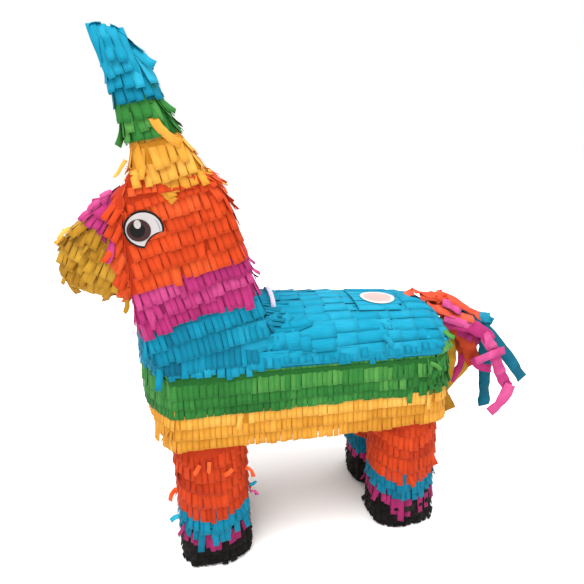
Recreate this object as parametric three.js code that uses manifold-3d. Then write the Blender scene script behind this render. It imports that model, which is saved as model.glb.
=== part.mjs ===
// A rainbow donkey pinata: a hollow cardboard donkey dressed in rows of cut crepe paper.
// Millimetres, +Z up. The donkey faces -X, its left side faces -Y, and z = 0 is the ground.
// Dimensions along x are counted from the front edge of the side panels. The group that holds
// the pieces is shifted by CENTRE_X, so that the origin sits under the middle of the object.
import * as THREE from 'three';
import { mergeVertices } from 'three/addons/utils/BufferGeometryUtils.js';
import Module from 'manifold-3d';

const wasm = await Module();
wasm.setup();

// ---- driving dimensions ----------------------------------------------------------------
const CENTRE_X = 190.4;        // middle of the whole object, tail streamers included
const HALF_WIDTH = 74;         // outside of the crepe on the flat sides
const FRINGE = 5;              // thickness of the crepe covering
const BOARD = 3;               // corrugated cardboard
const GAP = 0.3;               // clearance between pieces that touch
const INNER_SKIN = FRINGE + GAP;

const CHEST_BULGE = 33;        // the chest curves this far ahead of the side panels
const RUMP_X = 322;            // rearmost point of the rump
const RUMP_ROUND = 36;         // rounding of the rump's edges
const BELLY_Z = 162;           // underside of the body at x = 0
const BAND_SLOPE = -0.042;     // the belly and the colour bands run down to the rear
const SPRING_DROP = 44;        // height of the arched back above its straight sides
const CREST_FRONT = [100, 297];
const CREST_REAR = [290, 280];

const LEG_X = [36, 270];       // front and rear leg centres
const LEG_Y = 37.5;            // leg centres to either side of the middle
const LEG_HALF = [41, 34];     // half size of a leg along X and Y
const LEG_SQUARE = 2.7;        // exponent of the leg's rounded square section
const LEG_BANDS = { hoof: 0.6, blue: 53, orange: 84 };

const EAR_BASE_Z = 438;
const EAR_TIP_Z = 559;
const NOSE_X = -93;            // front of the muzzle

const FLAP = { x0: 214, x1: 266, y0: -35, y1: 20 };   // fill flap in the back
const STRAP_X = 116;           // hanging strap across the back
const STRAP_HOLE_Y = 29;
const FLAP_GAP = 0.8;          // the cut round the flap

const FACE_Z = 300;            // the chest panel ends and the face panel starts
const CROWN_Z = 428;           // the face and nape panels end under the crown panel
const NAPE_X = 96.2;           // front edge of the back panel

// ---- colours -----------------------------------------------------------------------------
const COLOURS = {
  board: 0xb08a5c, blue: 0x14a5cd, green: 0x329146, yellow: 0xeba52d, orange: 0xeb5a32,
  pink: 0xcd378c, black: 0x1a1614, mustard: 0xc89632, label: 0xf2efe9, strap: 0xe6dcf0,
  teal: 0x147387, red: 0xa03a20, eye: 0xe8e4e0,
};

const root = new THREE.Group();
const body = new THREE.Group();
body.position.x = -CENTRE_X;
root.add(body);

// ---- solids ------------------------------------------------------------------------------
function toSolid(geometry) {
  const bare = geometry.clone();
  bare.deleteAttribute('normal');
  bare.deleteAttribute('uv');
  const merged = mergeVertices(bare, 1e-4);
  return new wasm.Manifold(new wasm.Mesh({
    numProp: 3,
    vertProperties: new Float32Array(merged.attributes.position.array),
    triVerts: new Uint32Array(merged.index.array),
  }));
}

function toGeometry(solid) {
  const mesh = solid.getMesh();
  const geometry = new THREE.BufferGeometry();
  geometry.setAttribute('position', new THREE.BufferAttribute(mesh.vertProperties, 3));
  geometry.setIndex(new THREE.BufferAttribute(mesh.triVerts, 1));
  geometry.computeVertexNormals();
  return geometry;
}

// A solid skinned over a row of closed rings that all have the same number of points.
function loft(rings) {
  const count = rings[0].length;
  const points = rings.flat();
  const faces = [];
  for (let r = 0; r + 1 < rings.length; r += 1) {
    for (let i = 0; i < count; i += 1) {
      const a = r * count + i;
      const b = r * count + (i + 1) % count;
      faces.push(a, b, b + count, a, b + count, a + count);
    }
  }
  for (const [start, flip] of [[0, true], [(rings.length - 1) * count, false]]) {
    const centre = new THREE.Vector3();
    for (let i = 0; i < count; i += 1) centre.addScaledVector(points[start + i], 1 / count);
    const hub = points.push(centre) - 1;
    for (let i = 0; i < count; i += 1) {
      const a = start + i;
      const b = start + (i + 1) % count;
      faces.push(...(flip ? [hub, b, a] : [hub, a, b]));
    }
  }
  const geometry = new THREE.BufferGeometry();
  const flat = points.flatMap((p) => [p.x, p.y, p.z]);
  geometry.setAttribute('position', new THREE.Float32BufferAttribute(flat, 3));
  geometry.setIndex(volume(points, faces) < 0 ? faces.reverse() : faces);
  return toSolid(geometry);
}

function volume(points, faces) {
  let sum = 0;
  for (let i = 0; i < faces.length; i += 3) {
    const [a, b, c] = [points[faces[i]], points[faces[i + 1]], points[faces[i + 2]]];
    sum += a.dot(b.clone().cross(c));
  }
  return sum / 6;
}

// A prism whose outline is drawn in the side view (x, z) and which runs from y0 to y1.
function sidePrism(outline, y0 = -200, y1 = 200) {
  const shape = new THREE.Shape(outline.map(([x, z]) => new THREE.Vector2(x, z)));
  const geometry = new THREE.ExtrudeGeometry(shape, { depth: y1 - y0, bevelEnabled: false });
  geometry.rotateX(Math.PI / 2);
  geometry.translate(0, y1, 0);
  return toSolid(geometry);
}

function block(x0, x1, y0, y1, z0, z1) {
  const geometry = new THREE.BoxGeometry(x1 - x0, y1 - y0, z1 - z0);
  geometry.translate((x0 + x1) / 2, (y0 + y1) / 2, (z0 + z1) / 2);
  return toSolid(geometry);
}

function addPiece(name, solid, colour, roughness = 0.9) {
  const material = new THREE.MeshStandardMaterial({
    color: COLOURS[colour], roughness, metalness: 0,
  });
  const mesh = new THREE.Mesh(toGeometry(solid), material);
  mesh.name = name;
  body.add(mesh);
}

const mirror = (solid) => solid.mirror([0, 1, 0]);
const line = (x, [x0, z0], [x1, z1]) => z0 + (z1 - z0) * (x - x0) / (x1 - x0);

// Piecewise straight interpolation through rows of [key, values...].
function table(rows, key) {
  const last = rows.length - 1;
  const i = Math.max(0, Math.min(last - 1, rows.findIndex((row) => row[0] > key) - 1));
  const [a, b] = key >= rows[last][0] ? [rows[last - 1], rows[last]] : [rows[i], rows[i + 1]];
  const t = Math.max(0, Math.min(1, (key - a[0]) / (b[0] - a[0])));
  return a.slice(1).map((value, k) => value + (b[k + 1] - value) * t);
}

// A rounded rectangle (superellipse) in the XY plane at height z.
function roundedRing(cx, cy, rx, ry, power, z, count) {
  return Array.from({ length: count }, (_, i) => {
    const angle = 2 * Math.PI * (i + 0.5) / count;
    const [c, s] = [Math.cos(angle), Math.sin(angle)];
    const x = cx + rx * Math.sign(c) * Math.abs(c) ** (2 / power);
    const y = cy + ry * Math.sign(s) * Math.abs(s) ** (2 / power);
    return new THREE.Vector3(x, y, z);
  });
}

// ---- body, neck and head -----------------------------------------------------------------
const bellyZ = (x) => BELLY_Z + BAND_SLOPE * x;
const crestZ = (x) => line(x, CREST_FRONT, CREST_REAR);
const springZ = (x) => crestZ(x) - SPRING_DROP;

// Section of the barrel at x: flat bottom, straight sides, arched back.
function barrelRing(x, halfWidth, inset, drop) {
  const steps = 14;
  const w = halfWidth - inset;
  const low = bellyZ(x) + inset;
  const rise = SPRING_DROP - inset - drop;
  const ring = [new THREE.Vector3(x, -w, low)];
  for (let i = 0; i <= steps; i += 1) {
    const angle = Math.PI * i / steps;
    ring.push(new THREE.Vector3(x, -w * Math.cos(angle), springZ(x) + rise * Math.sin(angle)));
  }
  ring.push(new THREE.Vector3(x, w, low));
  return ring;
}

function barrel(inset) {
  const rings = [];
  for (const t of [0.2, 0.4, 0.6, 0.8, 1]) {
    const x = 1 - CHEST_BULGE * (1 - t * t);
    rings.push(barrelRing(x + inset, HALF_WIDTH * t + inset * (1 - t), inset, 8));
  }
  rings.push(barrelRing(100, HALF_WIDTH, inset, 0));
  const round = RUMP_ROUND;
  for (let i = 0; i <= 6; i += 1) {
    const angle = Math.PI / 2 * i / 6;
    const x = RUMP_X - round + (round - inset) * Math.sin(angle);
    const pull = (round - inset) * (1 - Math.cos(angle));
    rings.push(barrelRing(x, HALF_WIDTH - pull, inset, 0.8 * pull));
  }
  return loft(rings);
}

// Rows of height, front edge at the sides, bulge of the front, back edge.
const NECK = [
  [215, 1, 33, 112], [242, 1, 33, 112], [257, -9, 23, 110], [277, -16, 15, 107],
  [300, -22, 10, 102], [322, -24, 8, 97], [357, -25, 7, 88], [386, -26, 6, 81],
  [404, -24, 6, 77], [423, -21, 5, 70], [436, -19, 4, 60], [441, -16, 3, 50],
];

function neckRing(z, inset) {
  const [front, bulge, back] = table(NECK, z);
  const w = HALF_WIDTH - inset;
  const ring = [];
  for (let i = -4; i <= 4; i += 1) {
    const t = i / 4;
    ring.push(new THREE.Vector3(front + inset - bulge * (1 - t * t), w * t, z));
  }
  for (const [dx, dy] of [[-14, 0], [-5, 3], [-1, 11]]) {
    ring.push(new THREE.Vector3(back - inset + dx, w - dy, z));
  }
  for (const [dx, dy] of [[-1, 11], [-5, 3], [-14, 0]]) {
    ring.push(new THREE.Vector3(back - inset + dx, dy - w, z));
  }
  return ring;
}

function neckAndHead(inset) {
  const top = NECK[NECK.length - 1][0] - inset;
  const levels = NECK.map((row) => row[0]).filter((z) => z < top - 1);
  return loft([...levels, top].map((z) => neckRing(z, inset)));
}

// The chest is cut back under its fullest point, down to the front legs.
function underChest(inset) {
  const d = inset * 1.1;
  return sidePrism([[-60, 100], [-9 + d, 100], [-9 + d, 158], [-34 + d, 207], [-60, 207]]);
}

function silhouette(inset) {
  return barrel(inset).add(neckAndHead(inset)).subtract(underChest(inset));
}

// ---- colour bands of the body ------------------------------------------------------------
const REAR = 400;
const FRONT = -120;
const greenTop = (x) => 242 + BAND_SLOPE * x;
const yellowTop = (x) => 197 + BAND_SLOPE * x;
const neckLine = (z) => [[FRONT, z + 0.1 * (FRONT + 24)], [-24, z], [97, z + 32], [REAR, z + 32]];
const PINK_LOW = neckLine(287);
const ORANGE_LOW = neckLine(329);
const flatLine = (height) => [[FRONT, height(FRONT)], [REAR, height(REAR)]];
const raise = (outline, d) => outline.map(([x, z]) => [x, z + d]);

// A boolean can leave crumbs beside the piece itself.
const largest = (solid) => solid.decompose().sort((a, b) => b.volume() - a.volume())[0];

// The space between two lines of the side view, both running from front to rear.
function between(low, high) {
  return sidePrism([...raise(low, GAP / 2), ...raise(high, -GAP / 2).reverse()]);
}

const outside = silhouette(0);
const boardOutside = silhouette(INNER_SKIN);
const boardInside = silhouette(INNER_SKIN + BOARD);
const floorLine = [[FRONT, 100], [REAR, 100]];
const skyLine = [[FRONT, 700], [REAR, 700]];

// ---- muzzle --------------------------------------------------------------------------------
// Rows of x, half width, lowest and highest point, from the root to the nose.
const MUZZLE = [
  [-15, 70, 318, 430], [-30, 66, 316, 428], [-44, 58, 318, 419], [-58, 50, 320, 407],
  [-72, 41, 323, 394], [-84, 33, 327, 384], [NOSE_X, 24, 335, 375],
];

function muzzleRing(x, inset) {
  const [halfWidth, low, high] = table(MUZZLE.map((row) => [-row[0], ...row.slice(1)]), -x);
  const [w, a, b] = [halfWidth - inset, low + inset, high - inset];
  const ring = roundedRing((a + b) / 2, 0, (b - a) / 2, w, 4, x, 20);
  return ring.map((p) => new THREE.Vector3(x, p.y, p.x));
}

function muzzle(inset) {
  const xs = MUZZLE.map((row) => row[0]);
  xs[xs.length - 1] += inset;
  return loft(xs.map((x) => muzzleRing(x, inset)));
}

// ---- ears ----------------------------------------------------------------------------------
// Rows of height, front edge, back edge, outer face, inner face (both counted from the middle).
const EAR = [
  [420, -20, 60, 74, 30], [446, -16, 51, 74, 31], [461, -14, 42, 73.5, 33], [481, -18, 30, 73, 36],
  [504, -23, 18, 71, 39], [525, -26, 13, 69, 42], [539, -31, 7, 67, 45], [551, -32, -3, 64, 48],
  [EAR_TIP_Z, -31, -11, 61, 51],
];

function ear(inset, base) {
  const top = EAR_TIP_Z - inset;
  const levels = EAR.map((row) => row[0]).filter((z) => z > base + 2 && z < top - 2);
  return loft([base, ...levels, top].map((z) => {
    const [front, back, outer, inner] = table(EAR, z);
    const rx = (back - front) / 2 - inset;
    const ry = (outer - inner) / 2 - inset;
    return roundedRing((front + back) / 2, -(outer + inner) / 2, rx, ry, 4, z, 16);
  }));
}

const earLine = (z, slope) => [[FRONT, z + slope * (FRONT + 15)], [REAR, z + slope * (REAR + 15)]];
const EAR_BANDS = [
  ['yellow', earLine(EAR_BASE_Z + 4, 0), earLine(464, 0.2)],
  ['green', earLine(464, 0.2), earLine(495, 0.2)],
  ['blue', earLine(495, 0.2), skyLine],
];

// ---- openings in the back --------------------------------------------------------------------
const flapCut = (d) => block(FLAP.x0 - d, FLAP.x1 + d, FLAP.y0 - d, FLAP.y1 + d, 235, 320);
const strapCut = block(STRAP_X - 4, STRAP_X + 4, -STRAP_HOLE_Y - 3, -STRAP_HOLE_Y + 3, 235, 320)
  .add(block(STRAP_X - 4, STRAP_X + 4, STRAP_HOLE_Y - 3, STRAP_HOLE_Y + 3, 235, 320));

// ---- cardboard ---------------------------------------------------------------------------------
function cardboard() {
  const shell = boardOutside.subtract(boardInside);
  const side = HALF_WIDTH - INNER_SKIN - BOARD;
  addPiece('side_panel_left', shell.intersect(block(-90, 400, -90, -side, 100, 500)), 'board');
  addPiece('side_panel_right', shell.intersect(block(-90, 400, side, 90, 100, 500)), 'board');
  const middle = shell.intersect(block(-90, 400, GAP - side, side - GAP, 100, 500));
  const bellyTop = flatLine((x) => bellyZ(x) + INNER_SKIN + BOARD + 1);
  const backLow = flatLine((x) => springZ(x) + 8);
  const above = between(backLow, skyLine);
  const walls = between(bellyTop, backLow);
  const wall = (x0, x1, z0, z1) => middle.intersect(block(x0, x1, -90, 90, z0, z1));
  addPiece('belly_panel', middle.intersect(between(floorLine, bellyTop)), 'board');
  const chest = wall(-60, 50, 100, FACE_Z - GAP);
  const muzzleHole = block(-60, 0, -44, 44, 338, 404);
  const napeX = NAPE_X - GAP;
  const nape = sidePrism([[40, CROWN_Z], [120, CROWN_Z], [120, 330], [napeX, FACE_Z], [napeX, 240],
    [40, 240]]);
  addPiece('rump_panel', wall(270, 340, 100, 400).intersect(walls), 'board');
  addPiece('back_panel', wall(NAPE_X, 400, 200, 400).intersect(above)
    .subtract(flapCut(FLAP_GAP)).subtract(strapCut), 'board');
  addPiece('chest_panel', chest.intersect(between(bellyTop, skyLine)), 'board');
  addPiece('face_panel', wall(-60, 30, FACE_Z, CROWN_Z).subtract(muzzleHole), 'board');
  addPiece('crown_panel', wall(-60, 100, CROWN_Z + GAP, 460), 'board');
  addPiece('nape_panel', middle.intersect(nape), 'board');
}

// ---- crepe on the body, neck and head ------------------------------------------------------------
function bodyCrepe() {
  const inner = silhouette(FRINGE);
  const skin = outside.subtract(inner).subtract(inner.translate([0, 0, -12]));
  const blue = flatLine(greenTop);
  const yellow = flatLine(yellowTop);
  addPiece('body_fringe_yellow', skin.intersect(between(floorLine, yellow)), 'yellow');
  addPiece('body_fringe_green', skin.intersect(between(yellow, blue)), 'green');
  addPiece('body_fringe_blue', skin.intersect(between(blue, PINK_LOW))
    .subtract(flapCut(FLAP_GAP)).subtract(strapCut), 'blue');
  const face = muzzle(-GAP);
  addPiece('neck_fringe_pink', skin.intersect(between(PINK_LOW, ORANGE_LOW)).subtract(face), 'pink');
  addPiece('head_fringe_orange', skin.intersect(between(ORANGE_LOW, skyLine)).subtract(face), 'orange');
}

// ---- muzzle pieces -----------------------------------------------------------------------------
function muzzlePieces() {
  const clearOfHead = silhouette(INNER_SKIN - GAP);
  const hollow = muzzle(INNER_SKIN + BOARD).add(block(-40, 0, -40, 40, 340, 402));
  addPiece('muzzle_box', muzzle(INNER_SKIN).subtract(hollow).subtract(clearOfHead), 'board');
  const skin = muzzle(0).subtract(muzzle(FRINGE)).subtract(clearOfHead);
  const slant = [[-31, 500], [-31, 432], [-36, 420], [-44, 360], [-40, 300]];
  const collar = (d) => sidePrism([...slant.map(([x, z]) => [x - d, z]), [40, 300], [40, 500]]);
  const bridge = (d) => sidePrism([[-66 - d, 500], [-66 - d, 396 - d], [-40, 374 - d], [0, 374 - d],
    [0, 500]]);
  const rest = skin.subtract(collar(GAP));
  addPiece('muzzle_fringe_orange', largest(skin.intersect(collar(0))), 'orange');
  addPiece('muzzle_fringe_pink', rest.intersect(bridge(0)), 'pink');
  addPiece('muzzle_fringe_mustard', rest.subtract(bridge(GAP)), 'mustard');
}

// ---- ears --------------------------------------------------------------------------------------
function ears() {
  for (const [side, place] of [['left', (s) => s], ['right', mirror]]) {
    const hollow = ear(INNER_SKIN + BOARD, EAR_BASE_Z - 4);
    const shell = ear(INNER_SKIN, EAR_BASE_Z + 4).subtract(hollow);
    addPiece(`ear_box_${side}`, place(shell), 'board');
    const skin = ear(0, EAR_BASE_Z + 4).subtract(ear(FRINGE, EAR_BASE_Z - 4));
    for (const [colour, low, high] of EAR_BANDS) {
      addPiece(`ear_fringe_${colour}_${side}`, place(skin.intersect(between(low, high))), colour);
    }
  }
}

// ---- legs --------------------------------------------------------------------------------------
function legSolid(x, y, inset, z0, z1) {
  const [rx, ry] = LEG_HALF;
  const rings = [z0, z1].map((z) => roundedRing(x, y, rx - inset, ry - inset, LEG_SQUARE, z, 16));
  return loft(rings);
}

// Everything under the belly, up to a clearance of d below the line of its crepe.
const underBelly = (d) => sidePrism([[FRONT, -50], [REAR, -50],
  ...[REAR, FRONT].map((x) => [x, bellyZ(x) - d])]);

function legs() {
  for (const [i, end] of ['front', 'rear'].entries()) {
    for (const [side, sign] of [['left', -1], ['right', 1]]) {
      const leg = (inset, z0, z1) => legSolid(LEG_X[i], sign * LEG_Y, inset, z0, z1);
      const sleeve = (z0, z1) => leg(0, z0, z1).subtract(leg(FRINGE, z0 - 5, z1 + 5));
      const name = `${end}_${side}`;
      const tube = leg(INNER_SKIN, BOARD + GAP, 200).subtract(leg(INNER_SKIN + BOARD, 0, 220));
      addPiece(`leg_tube_${name}`, tube.intersect(underBelly(GAP - INNER_SKIN)), 'board');
      addPiece(`hoof_cap_${name}`, leg(INNER_SKIN, 0, BOARD), 'board');
      const upper = sleeve(LEG_BANDS.orange + GAP, 200).intersect(underBelly(GAP));
      addPiece(`leg_fringe_orange_${name}`, upper, 'orange');
      addPiece(`leg_fringe_blue_${name}`, sleeve(LEG_BANDS.blue + GAP, LEG_BANDS.orange), 'blue');
      addPiece(`hoof_fringe_${name}`, sleeve(LEG_BANDS.hoof, LEG_BANDS.blue), 'black');
    }
  }
}

// ---- fill flap, label, hanging strap -----------------------------------------------------------
function backFittings() {
  const under = boardOutside.subtract(boardInside);
  addPiece('fill_flap', under.intersect(flapCut(0)), 'board');
  addPiece('flap_tissue', outside.subtract(silhouette(FRINGE)).intersect(flapCut(0)), 'blue');
  const sticker = silhouette(-GAP - 0.5).subtract(silhouette(-GAP));
  const oval = loft([260, 320].map((z) => roundedRing(240, -13, 22, 18, 3, z, 20)));
  addPiece('blank_label', sticker.intersect(oval), 'label', 0.6);

  const half = [[-STRAP_HOLE_Y, 262], [-STRAP_HOLE_Y, 278], [-STRAP_HOLE_Y + 1, 291], [-20, 298]];
  const over = [...half, [0, 300.5], ...half.reverse().map(([y, z]) => [-y, z])];
  const route = new THREE.CatmullRomCurve3(over.map(([y, z]) => new THREE.Vector3(STRAP_X, y, z)));
  addPiece('hang_strap', ribbon(route.getPoints(20), new THREE.Vector3(1, 0, 0), 5, 1), 'strap', 0.5);
  addPiece('strap_anchor', block(STRAP_X - 9, STRAP_X + 9, -42, 42, 256, 261), 'board');
}

// ---- eyes --------------------------------------------------------------------------------------
function eyes() {
  const outline = Array.from({ length: 24 }, (_, i) => {
    const angle = 2 * Math.PI * i / 24;
    return [-6.5 + 17.5 * Math.cos(angle), 392 + 17 * Math.sin(angle)];
  });
  const y = HALF_WIDTH + GAP;
  addPiece('eye_left', sidePrism(outline, -y - 0.8, -y), 'eye', 0.4);
  addPiece('eye_right', sidePrism(outline, y, y + 0.8), 'eye', 0.4);
}

// ---- tail --------------------------------------------------------------------------------------
// A flat ribbon of paper along a path; side is the direction across its width.
function ribbon(path, side, width, thickness) {
  const rings = path.map((p, i) => {
    const ahead = path[Math.min(i + 1, path.length - 1)];
    const behind = path[Math.max(i - 1, 0)];
    const along = ahead.clone().sub(behind).normalize();
    const across = side.clone().addScaledVector(along, -side.dot(along)).normalize();
    const up = along.clone().cross(across);
    return [[-1, -1], [1, -1], [1, 1], [-1, 1]].map(([u, v]) => p.clone()
      .addScaledVector(across, u * width / 2).addScaledVector(up, v * thickness / 2));
  });
  return loft(rings);
}

const STREAMER = 1.2;          // thickness of a streamer, two layers of crepe

// Each streamer: colour, width, direction across it, and its route from the tail knot.
const STREAMERS = [
  ['orange', 26, [0, 1, 0.1], [[334, -12, 281], [354, -14, 285], [378, -15, 275], [398, -12, 260],
    [414, -10, 244]]],
  ['pink', 20, [0.1, 1, 0.6], [[334, -14, 268], [360, -25, 262], [386, -27, 244], [404, -25, 222],
    [417, -22, 196], [431, -20, 170], [447, -19, 146], [444, -18, 122], [428, -18, 112]]],
  ['teal', 20, [0.2, 1, 0.4], [[334, 8, 276], [364, 8, 273], [392, 6, 256], [412, 4, 238], [432, 2, 200],
    [452, 0, 166], [470, -2, 136]]],
  ['teal', 18, [1, 0.5, 0], [[335, 13, 262], [360, 16, 248], [384, 17, 220], [398, 16, 180], [404, 15, 140],
    [408, 15, 100]]],
  ['red', 24, [0.6, 1, 0.2], [[334, -12, 254], [346, -22, 238], [358, -26, 210], [366, -28, 182],
    [362, -28, 158]]],
  ['mustard', 22, [0.5, 1, 0], [[334, 6, 250], [340, 3, 220], [342, 0, 180], [340, -2, 144],
    [350, -4, 112]]],
];

function tail() {
  const knot = (d) => block(323 - d, 332.5 + d, -24 - d, 24 + d, 244 - d, 284 + d);
  addPiece('tail_knot', knot(0), 'orange');
  const used = {};
  for (const [colour, width, across, route] of STREAMERS) {
    const curve = new THREE.CatmullRomCurve3(route.map((p) => new THREE.Vector3(...p)));
    used[colour] = (used[colour] ?? 0) + 1;
    const path = curve.getPoints(3 * route.length);
    const strip = ribbon(path, new THREE.Vector3(...across), width, STREAMER).subtract(knot(GAP));
    addPiece(`tail_streamer_${colour}_${used[colour]}`, strip, colour);
  }
}

cardboard();
bodyCrepe();
muzzlePieces();
ears();
legs();
backFittings();
eyes();
tail();

export default root;
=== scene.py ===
"""Looks for a rainbow donkey pinata: rows of cut crepe paper round a cardboard donkey.

Lengths are worked in millimetres and turned into metres when a mesh is made.
"""

import math
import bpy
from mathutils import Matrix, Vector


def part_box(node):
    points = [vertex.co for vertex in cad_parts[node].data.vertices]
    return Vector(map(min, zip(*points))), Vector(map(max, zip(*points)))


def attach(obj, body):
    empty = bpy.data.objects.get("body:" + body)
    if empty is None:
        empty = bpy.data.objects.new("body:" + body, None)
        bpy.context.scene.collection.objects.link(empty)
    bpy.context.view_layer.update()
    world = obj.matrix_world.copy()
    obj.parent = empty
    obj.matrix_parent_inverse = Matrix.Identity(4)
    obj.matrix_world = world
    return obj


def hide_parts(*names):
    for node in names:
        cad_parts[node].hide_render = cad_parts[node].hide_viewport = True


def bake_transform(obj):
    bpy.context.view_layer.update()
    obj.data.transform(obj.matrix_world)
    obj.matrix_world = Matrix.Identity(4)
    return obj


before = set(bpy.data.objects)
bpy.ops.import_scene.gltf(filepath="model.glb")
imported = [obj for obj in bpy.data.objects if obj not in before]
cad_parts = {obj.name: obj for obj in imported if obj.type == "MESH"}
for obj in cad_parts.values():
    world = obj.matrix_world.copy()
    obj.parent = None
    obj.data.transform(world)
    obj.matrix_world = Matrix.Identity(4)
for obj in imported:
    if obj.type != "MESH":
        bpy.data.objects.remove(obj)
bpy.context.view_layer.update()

import zlib

import bmesh
import bpy
import numpy as np
from mathutils import Matrix, Vector
from mathutils.bvhtree import BVHTree

MM = 0.001

# ---- sizes, in millimetres ----
PITCH = 5.8                   # width of one cut tab
PAPER = 0.22                  # thickness of a tab, several layers of crepe
ROOT = -2.5                   # a tab is glued this far inside the outer surface of the CAD crepe
REACH = 700.0                 # rays start this far outside
BAND_SLOPE = -0.042           # the body's rows run down to the rear
NECK_SLOPE = 0.264            # the rows of the neck and head rise to the rear
EAR_SLOPE = 0.25

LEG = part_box("leg_tube_front_left")
ZERO_X = (LEG[0].x + LEG[1].x) / 2 / MM - 36    # front edge of the side panels
SIDE_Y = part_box("body_fringe_green")[1].y / MM  # outside of the flat sides
FLAP_LOW, FLAP_HIGH = (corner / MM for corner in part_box("flap_tissue"))
FLAP_ALONG = (0.996, 0, -0.0891)                # the way the flap's hinge runs, down to the rear
FLAP_UP = (0.0891, 0, 0.996)
HINGE_Z = 282.95              # height of that hinge at the middle of its length
GROUP_MOST = 10               # fewer than this many tabs in a run share one shade and one cut

EYE_X, EYE_Z = -6.5, 392.0    # middle of an eye sticker
EYE_R = (17.5, 17.0)


def at(x, y, z):
    """A point from x counted from the front edge of the side panels, in millimetres."""
    return Vector((x + ZERO_X, y, z))


# ---- camera ----
def make_camera():
    yaw, pitch, roll = (math.radians(v) for v in (12.33, 15.65, -1.205))
    forward = Vector((math.sin(yaw) * math.cos(pitch), math.cos(yaw) * math.cos(pitch), -math.sin(pitch)))
    level = Vector((math.cos(yaw), -math.sin(yaw), 0))
    above = level.cross(forward)
    right = level * math.cos(roll) + above * math.sin(roll)
    up = above * math.cos(roll) - level * math.sin(roll)
    data = bpy.data.cameras.new("camera")
    data.sensor_width = 36
    data.lens = 28.54
    data.shift_y = -0.0383
    data.clip_start = 0.02
    camera = bpy.data.objects.new("camera", data)
    bpy.context.scene.collection.objects.link(camera)
    turn = Matrix((right, up, -forward)).transposed().to_4x4()
    camera.matrix_world = Matrix.Translation(at(34.47, -499.4, 465.9) * MM) @ turn
    bpy.context.scene.camera = camera


make_camera()
bpy.context.scene.view_settings.view_transform = "Standard"


# ---- materials ----
def linear(code):
    """An sRGB hex colour as linear RGBA."""
    values = [int(code[i:i + 2], 16) / 255 for i in (0, 2, 4)]
    return [v / 12.92 if v <= 0.04045 else ((v + 0.055) / 1.055) ** 2.4 for v in values] + [1.0]


class Nodes:
    """A short way to write a material's nodes."""

    def __init__(self, name):
        self.material = bpy.data.materials.new(name)
        self.material.use_nodes = True
        self.tree = self.material.node_tree
        self.shader = self.tree.nodes["Principled BSDF"]

    def add(self, kind, inputs=(), **settings):
        node = self.tree.nodes.new(kind)
        for key, value in settings.items():
            setattr(node, key, value)
        for key, value in dict(inputs).items():
            if isinstance(value, bpy.types.NodeSocket):
                self.tree.links.new(value, node.inputs[key])
            else:
                node.inputs[key].default_value = value
        return node

    def link(self, output, key):
        self.tree.links.new(output, self.shader.inputs[key])

    def set(self, **values):
        for key, value in values.items():
            self.shader.inputs[key.replace("_", " ")].default_value = value

    def ramp(self, factor, stops):
        node = self.add("ShaderNodeValToRGB", {0: factor})
        elements = node.color_ramp.elements
        while len(elements) < len(stops):
            elements.new(0.5)
        for element, (place, colour) in zip(elements, stops):
            element.position = place
            element.color = colour
        return node.outputs[0]

    def math(self, operation, a, b):
        return self.add("ShaderNodeMath", {0: a, 1: b}, operation=operation).outputs[0]

    def mix(self, a, share_a, b, share_b):
        return self.math("ADD", self.math("MULTIPLY", a, share_a), self.math("MULTIPLY", b, share_b))

    def noise(self, vector, scale, **more):
        return self.add("ShaderNodeTexNoise", {"Vector": vector, "Scale": scale, **more}).outputs[0]

    def bump(self, strength, distance, height):
        relief = self.add("ShaderNodeBump", {"Strength": strength, "Distance": distance, "Height": height})
        self.link(relief.outputs[0], "Normal")


def crepe(name, dark, mid, light, streak=0.35):
    """Crepe paper: fine crinkles along each tab, and a shade for each tab and each layer."""
    n = Nodes(name)
    place = n.add("ShaderNodeAttribute", attribute_name="crepe")
    split = n.add("ShaderNodeSeparateXYZ", {0: place.outputs["Vector"]})
    along = n.add("ShaderNodeMapping", {0: place.outputs["Vector"], "Scale": (0.9, 0.07, 0.0)})
    fine = n.add("ShaderNodeMapping", {0: place.outputs["Vector"], "Scale": (2.6, 0.5, 0.0)})
    creases = n.noise(along.outputs[0], 1.0, Detail=4.0, Roughness=0.62)
    crinkle = n.noise(fine.outputs[0], 1.0, Detail=3.0)
    blotch = n.noise(place.outputs["Vector"], 0.05, Detail=2.0)
    tone = n.math("MULTIPLY", creases, streak)
    tone = n.math("ADD", tone, split.outputs["Z"])
    tone = n.math("ADD", tone, n.math("MULTIPLY", blotch, 0.2))
    tone = n.math("SUBTRACT", tone, (streak + 0.2) / 2)
    n.link(n.ramp(tone, [(0.0, linear(dark)), (0.5, linear(mid)), (1.0, linear(light))]), "Base Color")
    n.bump(0.35, 0.0006, n.math("ADD", creases, n.math("MULTIPLY", crinkle, 0.35)))
    n.set(Roughness=0.88, Specular_IOR_Level=0.12, Sheen_Weight=0.02, Sheen_Roughness=0.4)
    return n.material


CREPE = {
    "blue": crepe("crepe_blue", "05566f", "0a809e", "34a9c6"),
    "green": crepe("crepe_green", "174e1e", "2f7432", "69a552"),
    "yellow": crepe("crepe_yellow", "a4640e", "d09032", "eab85c"),
    "orange": crepe("crepe_orange", "9a280c", "c8421a", "e66c38"),
    "pink": crepe("crepe_pink", "781a48", "a62c68", "d8649a"),
    "black": crepe("crepe_black", "0b0909", "1c1816", "3a3430"),
    "mustard": crepe("crepe_mustard", "7c5210", "a4761e", "cca03a"),
    "teal": crepe("tissue_teal", "08404f", "0d5c72", "1f84a0", 0.2),
    "coral": crepe("crepe_coral", "8e2a1c", "c4472f", "de7358"),
    "red": crepe("tissue_red", "7c2614", "a83a1e", "c85a34"),
}
SLOTS = {colour: "crepe_" + colour for colour in CREPE}
SLOTS.update(teal="streamer_teal", red="streamer_red", coral="crepe_orange")


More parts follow.
